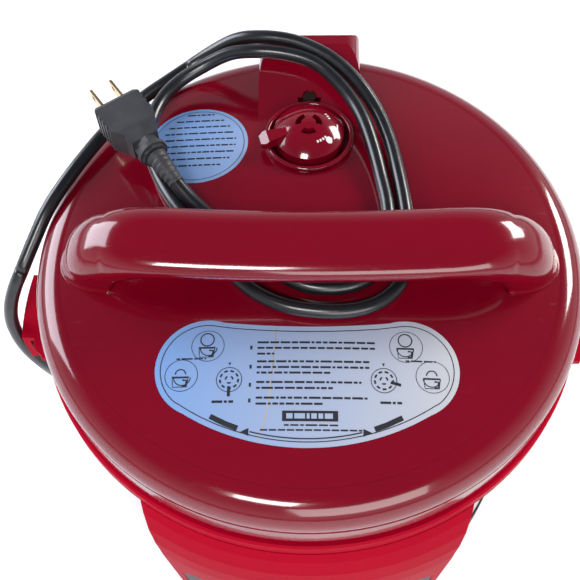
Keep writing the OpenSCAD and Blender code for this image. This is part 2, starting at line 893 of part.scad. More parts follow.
module float_seal() {
  color([0.8, 0.78, 0.74])
    translate([0, float_y, 0])
      difference() {
        union() {
          ring(5.4, 3, lid_z - 8, lid_z - 6.05);
          ring(4.95, 3, lid_z - 6.1, lid_z - 4);
        }
        translate([0, 0, lid_z - 20]) cylinder(r = 2.5, h = 30);
      }
}

module valve_knob() {
  color([0.55, 0.02, 0.05])
    translate([0, valve_y, lid_z])
      difference() {
        union() {
          translate([0, 0, 17]) cylinder(r = knob_r - 1, h = 9);
          intersection() {
            translate([0, 0, 22]) cylinder(r = knob_r, h = 20);
            translate([0, 0, 8]) sphere(r = 30);
          }
          rotate([0, 0, 196])
            intersection() {
              translate([0, 10, 0])
                rotate([90, 0, 0])
                  linear_extrude(height = 20)
                    polygon([[5, 28.6], [5, 35.8], [24, 34.2], [28.5, 32], [28.5, 28.6]]);
              translate([0, 0, 20])
                linear_extrude(height = 30)
                  polygon([[3, -1.2], [26, -4.6], [28.5, -3], [28.5, 3], [26, 4.6], [3, 1.2]]);
            }
        }
        for (a = [30, 150, 270])
          rotate([0, 0, a])
            intersection() {
              ring(7.6, 4.2, 28.5, 45);
              translate([0, 0, 28]) linear_extrude(height = 20) sector(60, -36, 36);
            }
        translate([0, 0, 16]) cylinder(r = 15, h = 9);
        translate([0, 0, 16]) cylinder(r = 5.06, h = 10);
      }
}

module valve_weight() {
  color([0.72, 0.72, 0.74])
    translate([0, valve_y, 0])
      difference() {
        translate([0, 0, lid_z + 17.2]) cylinder(r = 14.9, h = 7.6);
        translate([0, 0, lid_z + 16]) cylinder(r = 5.06, h = 5.3);
        translate([0, 0, lid_z + 16]) cylinder(r = 2, h = 12);
      }
}

module float_valve() {
  color([0.45, 0.1, 0.1])
    translate([0, float_y, 0]) {
      translate([0, 0, lid_z - 12]) cylinder(r = 2.45, h = 33.5);
      translate([0, 0, lid_z + 21]) cylinder(r = 3.9, h = 5.5);
      translate([0, 0, lid_z - 14]) cylinder(r = 5, h = 2.1);
    }
}

// ---------------------------------------------------------------- cord and plug
module cord_lead() {
  color([0.04, 0.04, 0.05])
    swept_cord(lead_route, cord_d, 10, [0, 0, 1], [-0.866, 0.5, 0], split_dir);
}

module cord_loops() {
  color([0.04, 0.04, 0.05])
    swept_cord(loop_route, cord_d, 10, [0, 0, 1], split_dir, unit([-36, 49, 0]));
}

module at_plug() {
  translate([-83, 43.5, lid_z + 41]) rotate([0, 0, plug_turn]) children();
}

module plug_collar() {
  color([0.08, 0.08, 0.09])
    at_plug()
      rotate([0, 90, 0])
        difference() {
          union() {
            translate([0, 0, 0.05]) cylinder(r = 7.5, h = 9.9, $fn = 8);
            translate([0, 0, 2]) cylinder(r = 8.4, h = 3);
          }
          translate([8, 0, 7]) sphere(r = 1.6);
        }
}

module plug_body() {
  color([0.1, 0.1, 0.11])
    at_plug()
      intersection() {
        difference() {
          translate([0, 0, -8.4])
            linear_extrude(height = 16.8)
              polygon([
                [10, -8], [16, -9], [24, -14], [40, -14], [44, -12], [44, 12], [40, 14], [24, 14],
                [16, 9], [10, 8]
              ]);
          for (x = [22:4:38])
            for (s = [-1, 1])
              translate([x, s * 14, -10]) cylinder(r = 1, h = 20);
        }
        rotate([90, 0, 0])
          translate([0, 0, -20])
            linear_extrude(height = 40)
              polygon([[9, -6.5], [20, -8.4], [41, -8.4], [45, -6], [45, 6], [41, 8.4], [20, 8.4], [9, 6.5]]);
      }
}

module plug_blades() {
  color([0.8, 0.66, 0.35])
    at_plug()
      for (s = [-1, 1])
        difference() {
          block(44.01, 61, s * blade_gap / 2 - 0.75, s * blade_gap / 2 + 0.75, -3.15, 3.15);
          translate([57, s * blade_gap / 2 - 3, 0]) rotate([-90, 0, 0]) cylinder(r = 1.5, h = 6);
          for (z = [-1, 1])
            translate([61, s * blade_gap / 2 - 3, z * 3.9]) rotate([0, 45, 0]) cube([2, 6, 2], center = false);
        }
}

outer_shell();
rim_ring();
base_pan();
feet();
base_screws();
side_handle_left();
side_handle_right();
side_grip_left();
side_grip_right();
handle_screws();
front_housing();
control_panel();
display_window();
display_module();
button_1();
button_2();
button_3();
button_4();
button_5();
button_6();
control_board();
outer_pot();
heating_plate();
heating_element();
plate_posts();
inner_pot();
sensor_cap();
sensor_spring();
sensor_seat();
terminal_block();
cord_gland();
cup_bracket();
bracket_screw();
condensation_cup();
carriage_ring();
hinge_pin();
lid_cover();
lid_handle();
handle_underside();
handle_bolts();
lid_plate();
sealing_gasket();
gasket_hoop();
lid_screws();
exhaust_stem();
clog_shield();
valve_bezel();
float_seal();
label_front();
label_side();
valve_knob();
valve_weight();
float_valve();
cord_lead();
cord_loops();
plug_collar();
plug_body();
plug_blades();
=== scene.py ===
import bpy
import math
from mathutils import Matrix, Vector


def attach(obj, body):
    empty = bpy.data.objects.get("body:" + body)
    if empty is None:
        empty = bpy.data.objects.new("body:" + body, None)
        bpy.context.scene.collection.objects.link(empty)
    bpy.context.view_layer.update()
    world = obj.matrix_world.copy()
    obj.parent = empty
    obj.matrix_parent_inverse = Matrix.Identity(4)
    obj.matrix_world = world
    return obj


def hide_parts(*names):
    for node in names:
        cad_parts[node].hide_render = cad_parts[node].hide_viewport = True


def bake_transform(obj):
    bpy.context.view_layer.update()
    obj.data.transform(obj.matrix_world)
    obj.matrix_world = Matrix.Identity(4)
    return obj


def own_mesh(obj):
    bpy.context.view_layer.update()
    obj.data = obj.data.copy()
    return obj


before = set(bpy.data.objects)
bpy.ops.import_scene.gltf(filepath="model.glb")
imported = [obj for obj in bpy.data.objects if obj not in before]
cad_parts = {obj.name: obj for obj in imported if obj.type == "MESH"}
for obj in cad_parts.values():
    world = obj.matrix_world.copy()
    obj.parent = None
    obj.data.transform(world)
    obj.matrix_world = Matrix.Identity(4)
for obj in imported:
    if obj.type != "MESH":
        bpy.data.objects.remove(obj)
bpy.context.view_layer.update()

scene = bpy.context.scene

# ------------------------------------------------------------------ camera
CAMERA_AT = (0.0058, -0.2714, 0.664)
PITCH, YAW, ROLL = math.radians(59.2), math.radians(-3.5), math.radians(-2.8)
LENS, SENSOR_WIDTH = 56.5, 36.0

cam_data = bpy.data.cameras.new("view_camera")
cam_data.lens = LENS
cam_data.sensor_width = SENSOR_WIDTH
camera = bpy.data.objects.new("view_camera", cam_data)
scene.collection.objects.link(camera)
look = Vector((math.sin(YAW) * math.cos(PITCH), math.cos(YAW) * math.cos(PITCH), -math.sin(PITCH)))
right = look.cross(Vector((0, 0, 1))).normalized()
up = right.cross(look)
cam_x = math.cos(ROLL) * right + math.sin(ROLL) * up
cam_y = -math.sin(ROLL) * right + math.cos(ROLL) * up
camera.matrix_world = Matrix((
    (cam_x.x, cam_y.x, -look.x, CAMERA_AT[0]),
    (cam_x.y, cam_y.y, -look.y, CAMERA_AT[1]),
    (cam_x.z, cam_y.z, -look.z, CAMERA_AT[2]),
    (0, 0, 0, 1)))
scene.camera = camera

# ------------------------------------------------------------------ the part's own numbers, in metres
MM = 0.001
LID_Z, LID_R, DOME_H, SHOULDER = 0.236, 0.150, 0.026, 0.016
DOME_EDGE = LID_R - SHOULDER
DOME_R = (DOME_EDGE ** 2 + DOME_H ** 2 - SHOULDER ** 2) / (2 * (DOME_H - SHOULDER))
VALVE = Vector((0, 0.070, 0))
CORD_D = 0.008

LEAD_ROUTE = [
    (-124, 71.6, 22), (-133, 76.8, 20), (-145, 83, 13), (-158, 87, 7), (-171, 84, 5),
    (-181, 73, 6), (-185, 58, 14), (-184, 42, 28), (-181, 27, 46), (-177, 13, 66),
    (-174, 2, 88), (-172.5, -6, 110), (-173.5, -11, 132), (-176.5, -13, 153),
    (-178.2, -13, 172), (-177.5, -12, 190), (-174, -10, 206), (-168.5, -6, 219.5), (-162, -1, 231)]
LOOP_ROUTE = [
    (-161.8, -1, 231.2), (-155, 12, 240.5), (-147, 27, 249.8), (-138, 43, 254.6), (-128, 61, 256.8),
    (-118, 78, 257.8), (-108, 93, 257.2), (-98, 107, 255.8), (-87, 119, 254.8), (-74, 129, 257),
    (-59, 134, 265), (-44, 133, 275.5), (-30, 130, 280.5), (-14, 127, 281.5), (0, 122, 280.5),
    (14, 114, 278), (27, 102, 273.5), (38, 86, 268), (45, 66, 265.5), (49, 44, 265.2),
    (52, 20, 264.9), (53, -2, 264.9), (51, -20, 264.8), (45, -33, 264.7), (34, -42, 264.8),
    (20, -46, 265), (5, -46, 265.2), (-10, -43.5, 265.3), (-24, -37, 265.3), (-36, -27, 265.3),
    (-45, -15, 265.2), (-54, -2, 264.9), (-64, 10, 264.9), (-73, 22, 264.7), (-81, 36, 264.3),
    (-87, 50, 263.9), (-91, 65, 263.4), (-91, 81, 262.9), (-87, 97, 262.7), (-78, 110, 264),
    (-63, 118, 269), (-47, 121, 276), (-31, 119, 280), (-14, 117, 280), (2, 112, 278.4),
    (14, 103, 275), (24, 90, 272), (31, 75, 270.2), (36, 58, 267.5), (40, 38, 265.3),
    (43, 16, 265.3), (42, -6, 265.4), (36.5, -21, 265.4), (27, -29.5, 265.5), (14, -33, 265.7),
    (-1, -31.5, 265.9), (-15, -24, 266), (-28, -12, 265.9), (-42, 1, 265.4), (-54.5, 13, 266),
    (-63, 20.5, 268.5), (-70, 27.5, 272), (-76.5, 35, 275.5), (-83, 43.5, 277)]


# ------------------------------------------------------------------ small helpers
def dome_height(x, y):
    """Height of the lid's outer surface over a point."""
    r = math.hypot(x, y)
    if r <= DOME_EDGE:
        return LID_Z + DOME_H - DOME_R + math.sqrt(DOME_R ** 2 - r * r)
    return LID_Z + math.sqrt(max(SHOULDER ** 2 - (r - DOME_EDGE) ** 2, 0))


def smooth_path(points, steps):
    """Catmull-Rom curve through the points, with `steps` samples to a span."""
    p = [Vector(q) for q in points]
    p = [2 * p[0] - p[1]] + p + [2 * p[-1] - p[-2]]
    out = []
    for i in range(1, len(p) - 2):
        a, b, c, d = p[i - 1], p[i], p[i + 1], p[i + 2]
        for k in range(steps):
            t = k / steps
            out.append(0.5 * ((2 * b) + (c - a) * t + (2 * a - 5 * b + 4 * c - d) * t ** 2
                              + (3 * b - a - 3 * c + d) * t ** 3))
    out.append(p[-2].copy())
    return out


def round_path(x, y, r, first, last, count):
    """Points of an arc from the first to the last angle, in degrees."""
    angles = [math.radians(first + (last - first) * k / count) for k in range(count + 1)]
    return [(x + r * math.cos(a), y + r * math.sin(a)) for a in angles]


def new_mesh(name, verts, faces, material, smooth=True):
    """A new object; faces of more than four corners stay flat."""
    mesh = bpy.data.meshes.new(name)
    mesh.from_pydata([tuple(v) for v in verts], [], faces)
    mesh.validate()
    obj = bpy.data.objects.new(name, mesh)
    scene.collection.objects.link(obj)
    for poly in mesh.polygons:
        poly.use_smooth = smooth and len(poly.vertices) <= 4
    mesh.materials.append(material)
    return obj


def path_frames(points):
    """A steady pair of side vectors for each point along a path."""
    n = len(points)
    dirs = [(points[min(i + 1, n - 1)] - points[max(i - 1, 0)]).normalized() for i in range(n)]
    v = Vector((0, 0, 1))
    frames = []
    for t in dirs:
        v = (v - v.dot(t) * t).normalized()
        frames.append((t, v, t.cross(v)))
    return frames


def tube(name, points, radius, sides, material, frames=None):
    """A round tube along points; radius is a number or a function of distance along it."""
    frames = frames or path_frames(points)
    verts, faces, along = [], [], 0.0
    for i, (q, (_, a, b)) in enumerate(zip(points, frames)):
        if i:
            along += (q - points[i - 1]).length
        r = radius(along) if callable(radius) else radius
        for k in range(sides):
            w = 2 * math.pi * k / sides
            verts.append(q + r * (math.cos(w) * a + math.sin(w) * b))
    for i in range(len(points) - 1):
        for k in range(sides):
            m = (k + 1) % sides
            faces.append((i * sides + k, i * sides + m, (i + 1) * sides + m, (i + 1) * sides + k))
    last = (len(points) - 1) * sides
    faces.append(tuple(range(sides))[::-1])
    faces.append(tuple(range(last, last + sides)))
    return new_mesh(name, verts, faces, material)


# ------------------------------------------------------------------ materials
def principled(name, color, rough, metal=0.0, **extra):
    mat = bpy.data.materials.new(name)
    mat.use_nodes = True
    bsdf = mat.node_tree.nodes["Principled BSDF"]
    bsdf.inputs["Base Color"].default_value = (*color, 1)
    bsdf.inputs["Roughness"].default_value = rough
    bsdf.inputs["Metallic"].default_value = metal
    for key, value in extra.items():
        bsdf.inputs[key.replace("_", " ")].default_value = value
    return mat, mat.node_tree.nodes, mat.node_tree.links, bsdf


def add(nodes, kind, **values):
    """A new node with its inputs, or else its own settings, given by name."""
    node = nodes.new(kind)
    for key, value in values.items():
        if key in node.inputs:
            node.inputs[key].default_value = value
        else:
            setattr(node, key, value)
    return node


def coords(nodes, links, scale):
    where = nodes.new("ShaderNodeTexCoord")
    mapping = nodes.new("ShaderNodeMapping")
    mapping.inputs["Scale"].default_value = scale
    links.new(where.outputs["Object"], mapping.inputs["Vector"])
    return mapping.outputs["Vector"]


def ranged(nodes, links, source, taken=(0.0, 1.0), given=(0.0, 1.0)):
    """The source, with the values `taken` stretched onto the values `given`."""
    node = nodes.new("ShaderNodeMapRange")
    node.inputs["From Min"].default_value, node.inputs["From Max"].default_value = taken
    node.inputs["To Min"].default_value, node.inputs["To Max"].default_value = given
    links.new(source, node.inputs["Value"])
    return node.outputs["Result"]


def color_ramp(nodes, stops):
    """A colour ramp through (position, colour) stops, in rising order."""
    ramp = nodes.new("ShaderNodeValToRGB")
    elements = ramp.color_ramp.elements
    for position, _ in stops[1:-1]:
        elements.new(position)
    for element, (position, color) in zip(elements, stops):
        element.position = position
        element.color = (*color, 1)
    return ramp


def varied(mat_parts, color, rough, scale, color_swing, rough_swing, bump=0.0, bump_scale=None,
           stretch=(1, 1, 1)):
    """Noise that varies colour and roughness a little, with a fine bump."""
    mat, nodes, links, bsdf = mat_parts
    vector = coords(nodes, links, stretch)
    noise = add(nodes, "ShaderNodeTexNoise", Scale=scale, Detail=5.0, Roughness=0.6)
    links.new(vector, noise.inputs["Vector"])
    darker = [max(c * (1 - color_swing), 0) for c in color]
    lighter = [min(c * (1 + color_swing), 1) for c in color]
    ramp = color_ramp(nodes, ((0.3, darker), (0.7, lighter)))
    links.new(noise.outputs["Fac"], ramp.inputs["Fac"])
    links.new(ramp.outputs["Color"], bsdf.inputs["Base Color"])
    gloss = (max(rough - rough_swing, 0.02), min(rough + rough_swing, 1))
    links.new(ranged(nodes, links, noise.outputs["Fac"], given=gloss), bsdf.inputs["Roughness"])
    if bump:
        fine = add(nodes, "ShaderNodeTexNoise", Scale=bump_scale, Detail=3.0)
        links.new(vector, fine.inputs["Vector"])
        lift = add(nodes, "ShaderNodeBump", Strength=bump, Distance=0.0004)
        links.new(fine.outputs["Fac"], lift.inputs["Height"])
        links.new(lift.outputs["Normal"], bsdf.inputs["Normal"])
    return mat


def surface(name, color, rough, scale, color_swing, rough_swing, bump=0.0, bump_scale=None,
            stretch=(1, 1, 1), metal=0.0, **extra):
    """A material whose colour and gloss vary a little from place to place."""
    parts = principled(name, color, rough, metal, **extra)
    return varied(parts, color, rough, scale, color_swing, rough_swing, bump, bump_scale, stretch)


def glossy_red(name, color, rough, scratches, coat, shine):
    """Moulded glossy plastic with a slight ripple and, if asked for, faint rubbed scratches."""
    parts = principled(name, color, rough, Coat_Weight=coat, Coat_Roughness=0.04,
                       Specular_IOR_Level=shine)
    mat, nodes, links, bsdf = parts
    varied(parts, color, rough, 9.0, 0.06, 0.03, 0.05, 22.0)
    if scratches:
        vector = coords(nodes, links, (1.0, 6.0, 1.0))
        rubbed = add(nodes, "ShaderNodeTexNoise", Scale=60.0, Detail=8.0, Distortion=1.6)
        links.new(vector, rubbed.inputs["Vector"])
        lines = ranged(nodes, links, rubbed.outputs["Fac"], (0.63, 0.70), (0.0, 0.10))
        plus = add(nodes, "ShaderNodeMath", operation="ADD")
        links.new(bsdf.inputs["Roughness"].links[0].from_socket, plus.inputs[0])
        links.new(lines, plus.inputs[1])
        links.new(plus.outputs[0], bsdf.inputs["Roughness"])
    return mat


def paint_reflection_across(mat, stops, reach):
    """Paint a reflection into a material: its colour runs through the stops along X, from -reach to reach.
    """
    nodes, links = mat.node_tree.nodes, mat.node_tree.links
    split = nodes.new("ShaderNodeSeparateXYZ")
    links.new(nodes.new("ShaderNodeTexCoord").outputs["Object"], split.inputs[0])
    ramp = color_ramp(nodes, stops)
    links.new(ranged(nodes, links, split.outputs["X"], (-reach, reach)), ramp.inputs["Fac"])
    links.new(ramp.outputs["Color"], nodes["Principled BSDF"].inputs["Base Color"])


RED = glossy_red("lid_red", (0.175, 0.0006, 0.010), 0.13, True, 0.45, 0.45)
RED_BODY = glossy_red("body_red", (0.36, 0.0008, 0.016), 0.45, False, 0.0, 0.04)
BLACK = surface("moulded_black", (0.02, 0.02, 0.022), 0.45, 40, 0.2, 0.06, 0.25, 900)
PANEL = surface("panel_black", (0.008, 0.008, 0.01), 0.35, 20, 0.1, 0.03, Specular_IOR_Level=0.15)
RUBBER = surface("foot_rubber", (0.018, 0.018, 0.018), 0.75, 60, 0.2, 0.1, 0.3, 700)
CORD = surface("cord_black", (0.008, 0.009, 0.011), 0.3, 90, 0.3, 0.07, 0.12, 500,
               Coat_Weight=0.3, Coat_Roughness=0.2)
PLUG = surface("plug_grey", (0.03, 0.031, 0.035), 0.5, 120, 0.25, 0.08, 0.4, 1400)
BRASS = surface("blade_brass", (0.72, 0.55, 0.28), 0.28, 80, 0.15, 0.08, metal=1.0)
STEEL = surface("brushed_wrap", (0.62, 0.62, 0.63), 0.3, 18, 0.05, 0.08, 0.35, 160, (1, 1, 40), metal=1.0)
POT_STEEL = surface("pot_steel", (0.55, 0.55, 0.56), 0.34, 30, 0.08, 0.08, 0.1, 300, metal=1.0)
ALU = surface("pot_aluminium", (0.42, 0.43, 0.44), 0.38, 30, 0.08, 0.08, 0.1, 300, metal=1.0)
SCREW = surface("screw_steel", (0.55, 0.55, 0.57), 0.35, 90, 0.1, 0.1, metal=1.0)
DARK_STEEL = surface("dark_steel", (0.06, 0.06, 0.065), 0.42, 40, 0.2, 0.1, metal=0.6)
LABEL = surface("label_foil", (0.45, 0.54, 0.72), 0.32, 6, 0.08, 0.05, metal=0.35)
# The labels' colour runs from strong blue at the left, through the foil's own blue-grey, to grey at the
# right. The blue to the left is a painted reflection of the sky.
paint_reflection_across(LABEL, ((0.0, (0.24, 0.44, 0.84)), (0.45, (0.42, 0.52, 0.74)), (1.0, (0.66, 0.68, 0.72))), 0.075)
PRINT = surface("print_dark", (0.012, 0.012, 0.018), 0.5, 90, 0.2, 0.05)
PRINT_WHITE = surface("print_white", (0.75, 0.75, 0.76), 0.5, 90, 0.05, 0.05)
CREASE = surface("crease_tan", (0.45, 0.36, 0.25), 0.5, 60, 0.2, 0.05)
GREY = surface("button_grey", (0.32, 0.33, 0.35), 0.42, 80, 0.1, 0.06, 0.2, 900)
BOARD = surface("board_green", (0.012, 0.11, 0.04), 0.4, 120, 0.3, 0.1)
NYLON = surface("nylon", (0.62, 0.6, 0.52), 0.5, 60, 0.08, 0.06)
SILICONE = surface("silicone", (0.66, 0.66, 0.63), 0.45, 60, 0.05, 0.05, Subsurface_Weight=0.2)
CLEAR = surface("clear_cup", (0.9, 0.93, 0.95), 0.12, 30, 0.02, 0.03, Transmission_Weight=0.92)
SMOKE = surface("display_tint", (0.015, 0.016, 0.02), 0.07, 20, 0.1, 0.02, Coat_Weight=0.5)
FLOAT = surface("float_pin", (0.05, 0.02, 0.02), 0.35, 60, 0.2, 0.08, metal=0.5)

FINISH = (
    (RED, "lid_cover lid_handle handle_underside valve_bezel valve_knob"),
    (RED_BODY, "rim_ring side_handle_left side_handle_right front_housing"),
    (BLACK, "base_pan side_grip_left side_grip_right display_module cup_bracket"),
    (PANEL, "control_panel"),
    (SMOKE, "display_window"),
    (GREY, "button_1 button_2 button_3 button_4 button_5 button_6"),
    (BOARD, "control_board"),
    (NYLON, "terminal_block"),
    (STEEL, "outer_shell"),
    (POT_STEEL, "outer_pot sensor_cap sensor_seat lid_plate exhaust_stem clog_shield valve_weight"),
    (ALU, "heating_plate inner_pot"),
    (DARK_STEEL, "heating_element carriage_ring"),
    (SCREW, "base_screws handle_screws plate_posts sensor_spring bracket_screw hinge_pin"),
    (SCREW, "handle_bolts gasket_hoop lid_screws"),
    (RUBBER, "feet"),
    (CORD, "cord_gland"),
    (PLUG, "plug_collar plug_body"),
    (BRASS, "plug_blades"),
    (CLEAR, "condensation_cup"),
    (SILICONE, "sealing_gasket float_seal"),
    (LABEL, "label_front label_side"),
    (FLOAT, "float_valve"),
)
for material, names in FINISH:
    for name in names.split():
        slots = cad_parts[name].data.materials
        slots.clear()
        slots.append(material)

# ------------------------------------------------------------------ cord
STEPS = 5             # samples of the curve to each point of a route
RIM_POINTS = 9        # points of the loops between the rim and the lid
CORD_SIDES, RELIEF_SIDES = 20, 24
BOOT_LENGTH, TAIL_LENGTH = 0.026, 0.020
GROOVE_WIDTH, GROOVE_DEPTH = 0.3, 0.10

run = smooth_path([Vector(p) * MM for p in LEAD_ROUTE + LOOP_ROUTE[1:]], STEPS)
run_frames = path_frames(run)
OVER_RIM = STEPS * (len(LEAD_ROUTE) - 1)
ON_LID = OVER_RIM + STEPS * RIM_POINTS
lead, bend, loops = run[:OVER_RIM + 1], run[OVER_RIM:ON_LID + 1], run[ON_LID:]

cord_lead = tube("power_cord_lead", lead, CORD_D / 2, CORD_SIDES, CORD, run_frames[:OVER_RIM + 1])
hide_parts("cord_lead")
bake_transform(cord_lead)
cord_bend = tube("power_cord_bend", bend, CORD_D / 2, CORD_SIDES, CORD, run_frames[OVER_RIM:ON_LID + 1])
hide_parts("cord_loops")
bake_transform(cord_bend)
cord_loops = tube("power_cord_loops", loops, CORD_D / 2, CORD_SIDES, CORD, run_frames[ON_LID:])
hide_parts("cord_loops")
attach(cord_loops, "lid")


def dense(points, step, upto):
    """Points no further than `step` apart over the first `upto` of a path."""
    out, done = [], 0.0
    for a, b in zip(points, points[1:]):
        gap = (b - a).length
        n = max(int(gap / step), 1)
        for k in range(n):
            if done + gap * k / n > upto:
                return out
            out.append(a.lerp(b, k / n))
        done += gap
    return out


def strain_relief(name, path, length, big, small, pitch, material):
    """A tapering boot over the first stretch of a path, with a groove to each pitch."""
    def radius(along):
        taper = big + (small - big) * min(along / length, 1)
        grooved = along % pitch < pitch * GROOVE_WIDTH and 0.15 * length < along < 0.9 * length
        return taper * (1 - GROOVE_DEPTH) if grooved else taper
    return tube(name, dense(path, 0.0006, length), radius, RELIEF_SIDES, material)


boot = strain_relief("gland_boot", lead, BOOT_LENGTH, 0.0063, 0.0044, 0.0036, CORD)
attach(boot, "base")
tail = strain_relief("plug_tail", loops[::-1], TAIL_LENGTH, 0.0060, 0.0044, 0.0034, PLUG)
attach(tail, "lid")

# ------------------------------------------------------------------ sensor spring
COIL_TURNS, COIL_STEPS = 5, 24
COIL_R, COIL_LOW, COIL_HEIGHT, WIRE_R = 0.010, 0.0445, 0.012, 0.0008

coil = []
for k in range(COIL_TURNS * COIL_STEPS + 1):
    w = 2 * math.pi * k / COIL_STEPS
    rise = COIL_HEIGHT * k / (COIL_TURNS * COIL_STEPS)
    coil.append(Vector((COIL_R * math.cos(w), COIL_R * math.sin(w), COIL_LOW + rise)))
spring = tube("sensor_coil", coil, WIRE_R, 10, SCREW)
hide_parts("sensor_spring")
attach(spring, "base")
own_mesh(spring)

# ------------------------------------------------------------------ lid handle
BAR_Y, LEAN = -0.0085, math.radians(12)
BAR_END, BAR_HALF, BAR_TOP, BAR_UNDER = 0.131, 0.0195, 0.0425, 0.0245
END_TOP, FOOT_LOW = -0.004, -0.0095       # where the top and the underside come down to
LEG_R, INNER_R, LEG_INNER = 0.048, 0.034, 0.104
TIP = 0.026                               # length over which the bar's width rounds off
BOW = 0.005                               # how far the middle of the bar bows forwards
SLICES = 180
FLARE_FROM, FLARE_MID = 0.08, 0.109       # where the feet begin to spread, and what they spread from
FLARE, FLARE_FADE, FOOT_SINK = 0.0028, 0.0024, 0.0006


def handle_section(x):
    """Top, underside and half width of the bar at x, in the handle's own leaning frame."""
    out = abs(x)
    over = max(out - (BAR_END - LEG_R), 0) / LEG_R
    top = END_TOP + (BAR_TOP - END_TOP) * math.sqrt(max(1 - over ** 2.2, 0))
    under = min(max(out - (LEG_INNER - INNER_R), 0) / INNER_R, 1)
    low = BAR_UNDER - (BAR_UNDER - FOOT_LOW) * (1 - math.sqrt(1 - under ** 2))
    past = max(out - (BAR_END - TIP), 0) / TIP
    return top, low, BAR_HALF * math.sqrt(max(1 - past ** 2.1, 0.0004))


def handle_point(x, side, up_by):
    """A point of the bar, leaned back and set on the lid."""
    c, s = math.cos(LEAN), math.sin(LEAN)
    bow = -BOW * max(1 - (x / 0.11) ** 2, 0)
    return Vector((x, BAR_Y + (side + bow) * c - up_by * s, LID_Z + 0.016 + side * s * 0.6 + up_by * c))


def set_on_dome(q):
    """Spread a point of a foot outwards near the dome, and keep it from sinking deep."""
    above = q.z - dome_height(q.x, q.y)
    if abs(q.x) > FLARE_FROM:
        out = Vector((math.copysign(max(abs(q.x) - FLARE_MID, 0), q.x), q.y - BAR_Y, 0))
        spread = FLARE * math.exp(-max(above, 0) / FLARE_FADE) * min((abs(q.x) - FLARE_FROM) / 0.02, 1)
        q = q + out * (spread / max(out.length, 0.006))
    q.z = max(q.z, dome_height(q.x, q.y) - FOOT_SINK)
    return q


def squared(value, power):
    """A cosine or sine raised to a power below one, which makes a circle squarer."""
    return math.copysign(abs(value) ** power, value)


def handle_half(name, first, last, count, inset):
    """Upper or lower half of the bar, with round feet that settle on the dome."""
    verts, faces = [], []
    for i in range(SLICES):
        x = BAR_END * 0.9995 * math.sin(math.pi / 2 * (2 * i / (SLICES - 1) - 1))
        top, low, half = handle_section(x)
        mid, rise = (top + low) / 2, max((top - low) / 2, 0.0002) - inset
        for k in range(count):
            w = math.radians(first + (last - first) * k / (count - 1))
            side = (half - inset) * squared(math.cos(w), 0.8)
            verts.append(set_on_dome(handle_point(x, side, mid + rise * squared(math.sin(w), 0.85))))
    for i in range(SLICES - 1):
        for k in range(count):
            m = (k + 1) % count
            faces.append((i * count + k, i * count + m, (i + 1) * count + m, (i + 1) * count + k))
    last_ring = (SLICES - 1) * count
    faces.append(tuple(range(count))[::-1])
    faces.append(tuple(range(last_ring, last_ring + count)))
    half_bar = new_mesh(name, verts, faces, RED)
    for poly in half_bar.data.polygons:
        if poly.index % count == count - 1:
            poly.use_smooth = False
    return half_bar


bar_top = handle_half("handle_bar_upper", -24, 204, 56, 0.0)
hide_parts("lid_handle")
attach(bar_top, "lid")
bar_low = handle_half("handle_bar_lower", 206, 334, 32, 0.0002)
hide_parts("handle_underside")
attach(bar_low, "lid")


# ------------------------------------------------------------------ printed marks
class Marks:
    """Thin raised strips laid on a surface, gathered into one mesh."""

    def __init__(self, place):
        self.place, self.verts, self.faces = place, [], []

    def point(self, x, y):
        """Add a corner, in metres, and give its number."""
        self.verts.append(self.place(x, y))
        return len(self.verts) - 1

    def stroke(self, path, width, closed=False):
        """A strip along a path, in millimetres."""
        pts = [Vector((x * MM, y * MM, 0)) for x, y in path]
        if closed:
            pts = pts + [pts[0]]
        fine = [pts[0]]
        for a, b in zip(pts, pts[1:]):
            n = max(int((b - a).length / 0.0025), 1)
            fine += [a.lerp(b, (k + 1) / n) for k in range(n)]
        pairs = []
        for i, q in enumerate(fine):
            before = fine[i - 1] if i else (fine[-2] if closed else fine[0])
            after = fine[i + 1] if i + 1 < len(fine) else (fine[1] if closed else fine[-1])
            t = (after - before).normalized()
            side = Vector((-t.y, t.x, 0)) * width * MM / 2
            pairs.append((self.point(q.x + side.x, q.y + side.y), self.point(q.x - side.x, q.y - side.y)))
        for (a, b), (c, d) in zip(pairs, pairs[1:]):
            self.faces.append((a, b, d, c))

    def arc(self, x, y, r, first, last, width):
        steps = max(int(abs(last - first) * r / 60), 6)
        self.stroke(round_path(x, y, r, first, last, steps), width)

    def disc(self, x, y, r):
        self.stroke([(x - r * 0.8, y), (x + r * 0.8, y)], r * 1.2)
        self.arc(x, y, r * 0.6, 0, 360, r * 0.8)

    def words(self, x0, x1, y, height, seed):
        """A row of plain dashes in place of a line of writing."""
        x, k = x0, seed
        while x < x1:
            k = (k * 7 + 3) % 11
            step = min(1.4 + 0.42 * k, x1 - x)
            if step > 0.5:
                self.stroke([(x, y), (x + step, y)], height)
            x += step + 0.8

    def arrow(self, x, y, angle, size):
        """A three-cornered arrow head."""
        c, s = math.cos(math.radians(angle)), math.sin(math.radians(angle))
        tip = self.point((x + size * c) * MM, (y + size * s) * MM)
        left = self.point((x - 0.45 * size * s) * MM, (y + 0.45 * size * c) * MM)
        right = self.point((x + 0.45 * size * s) * MM, (y - 0.45 * size * c) * MM)
        self.faces.append((tip, left, right))

    def build(self, name, material, body="lid"):
        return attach(new_mesh(name, self.verts, self.faces, material, False), body)


def on_dome(lift):
    """The place function of the lid's outer surface, a little above it."""
    return lambda x, y: (x, y, dome_height(x, y) + lift)


KNOB_R, KNOB_MID = 0.030, 0.00812         # the knob's dome, and how far its centre is above the lid's edge
PANEL_R, PANEL_BEND = 0.16290, 0.163      # just outside the control panel, and the radius it is bent to


def on_knob(x, y):
    return x, y, LID_Z + KNOB_MID + math.sqrt(KNOB_R ** 2 - x * x - (y - VALVE.y) ** 2)


def on_panel(x, z):
    return PANEL_R * math.sin(x / PANEL_BEND), -PANEL_R * math.cos(x / PANEL_BEND), z


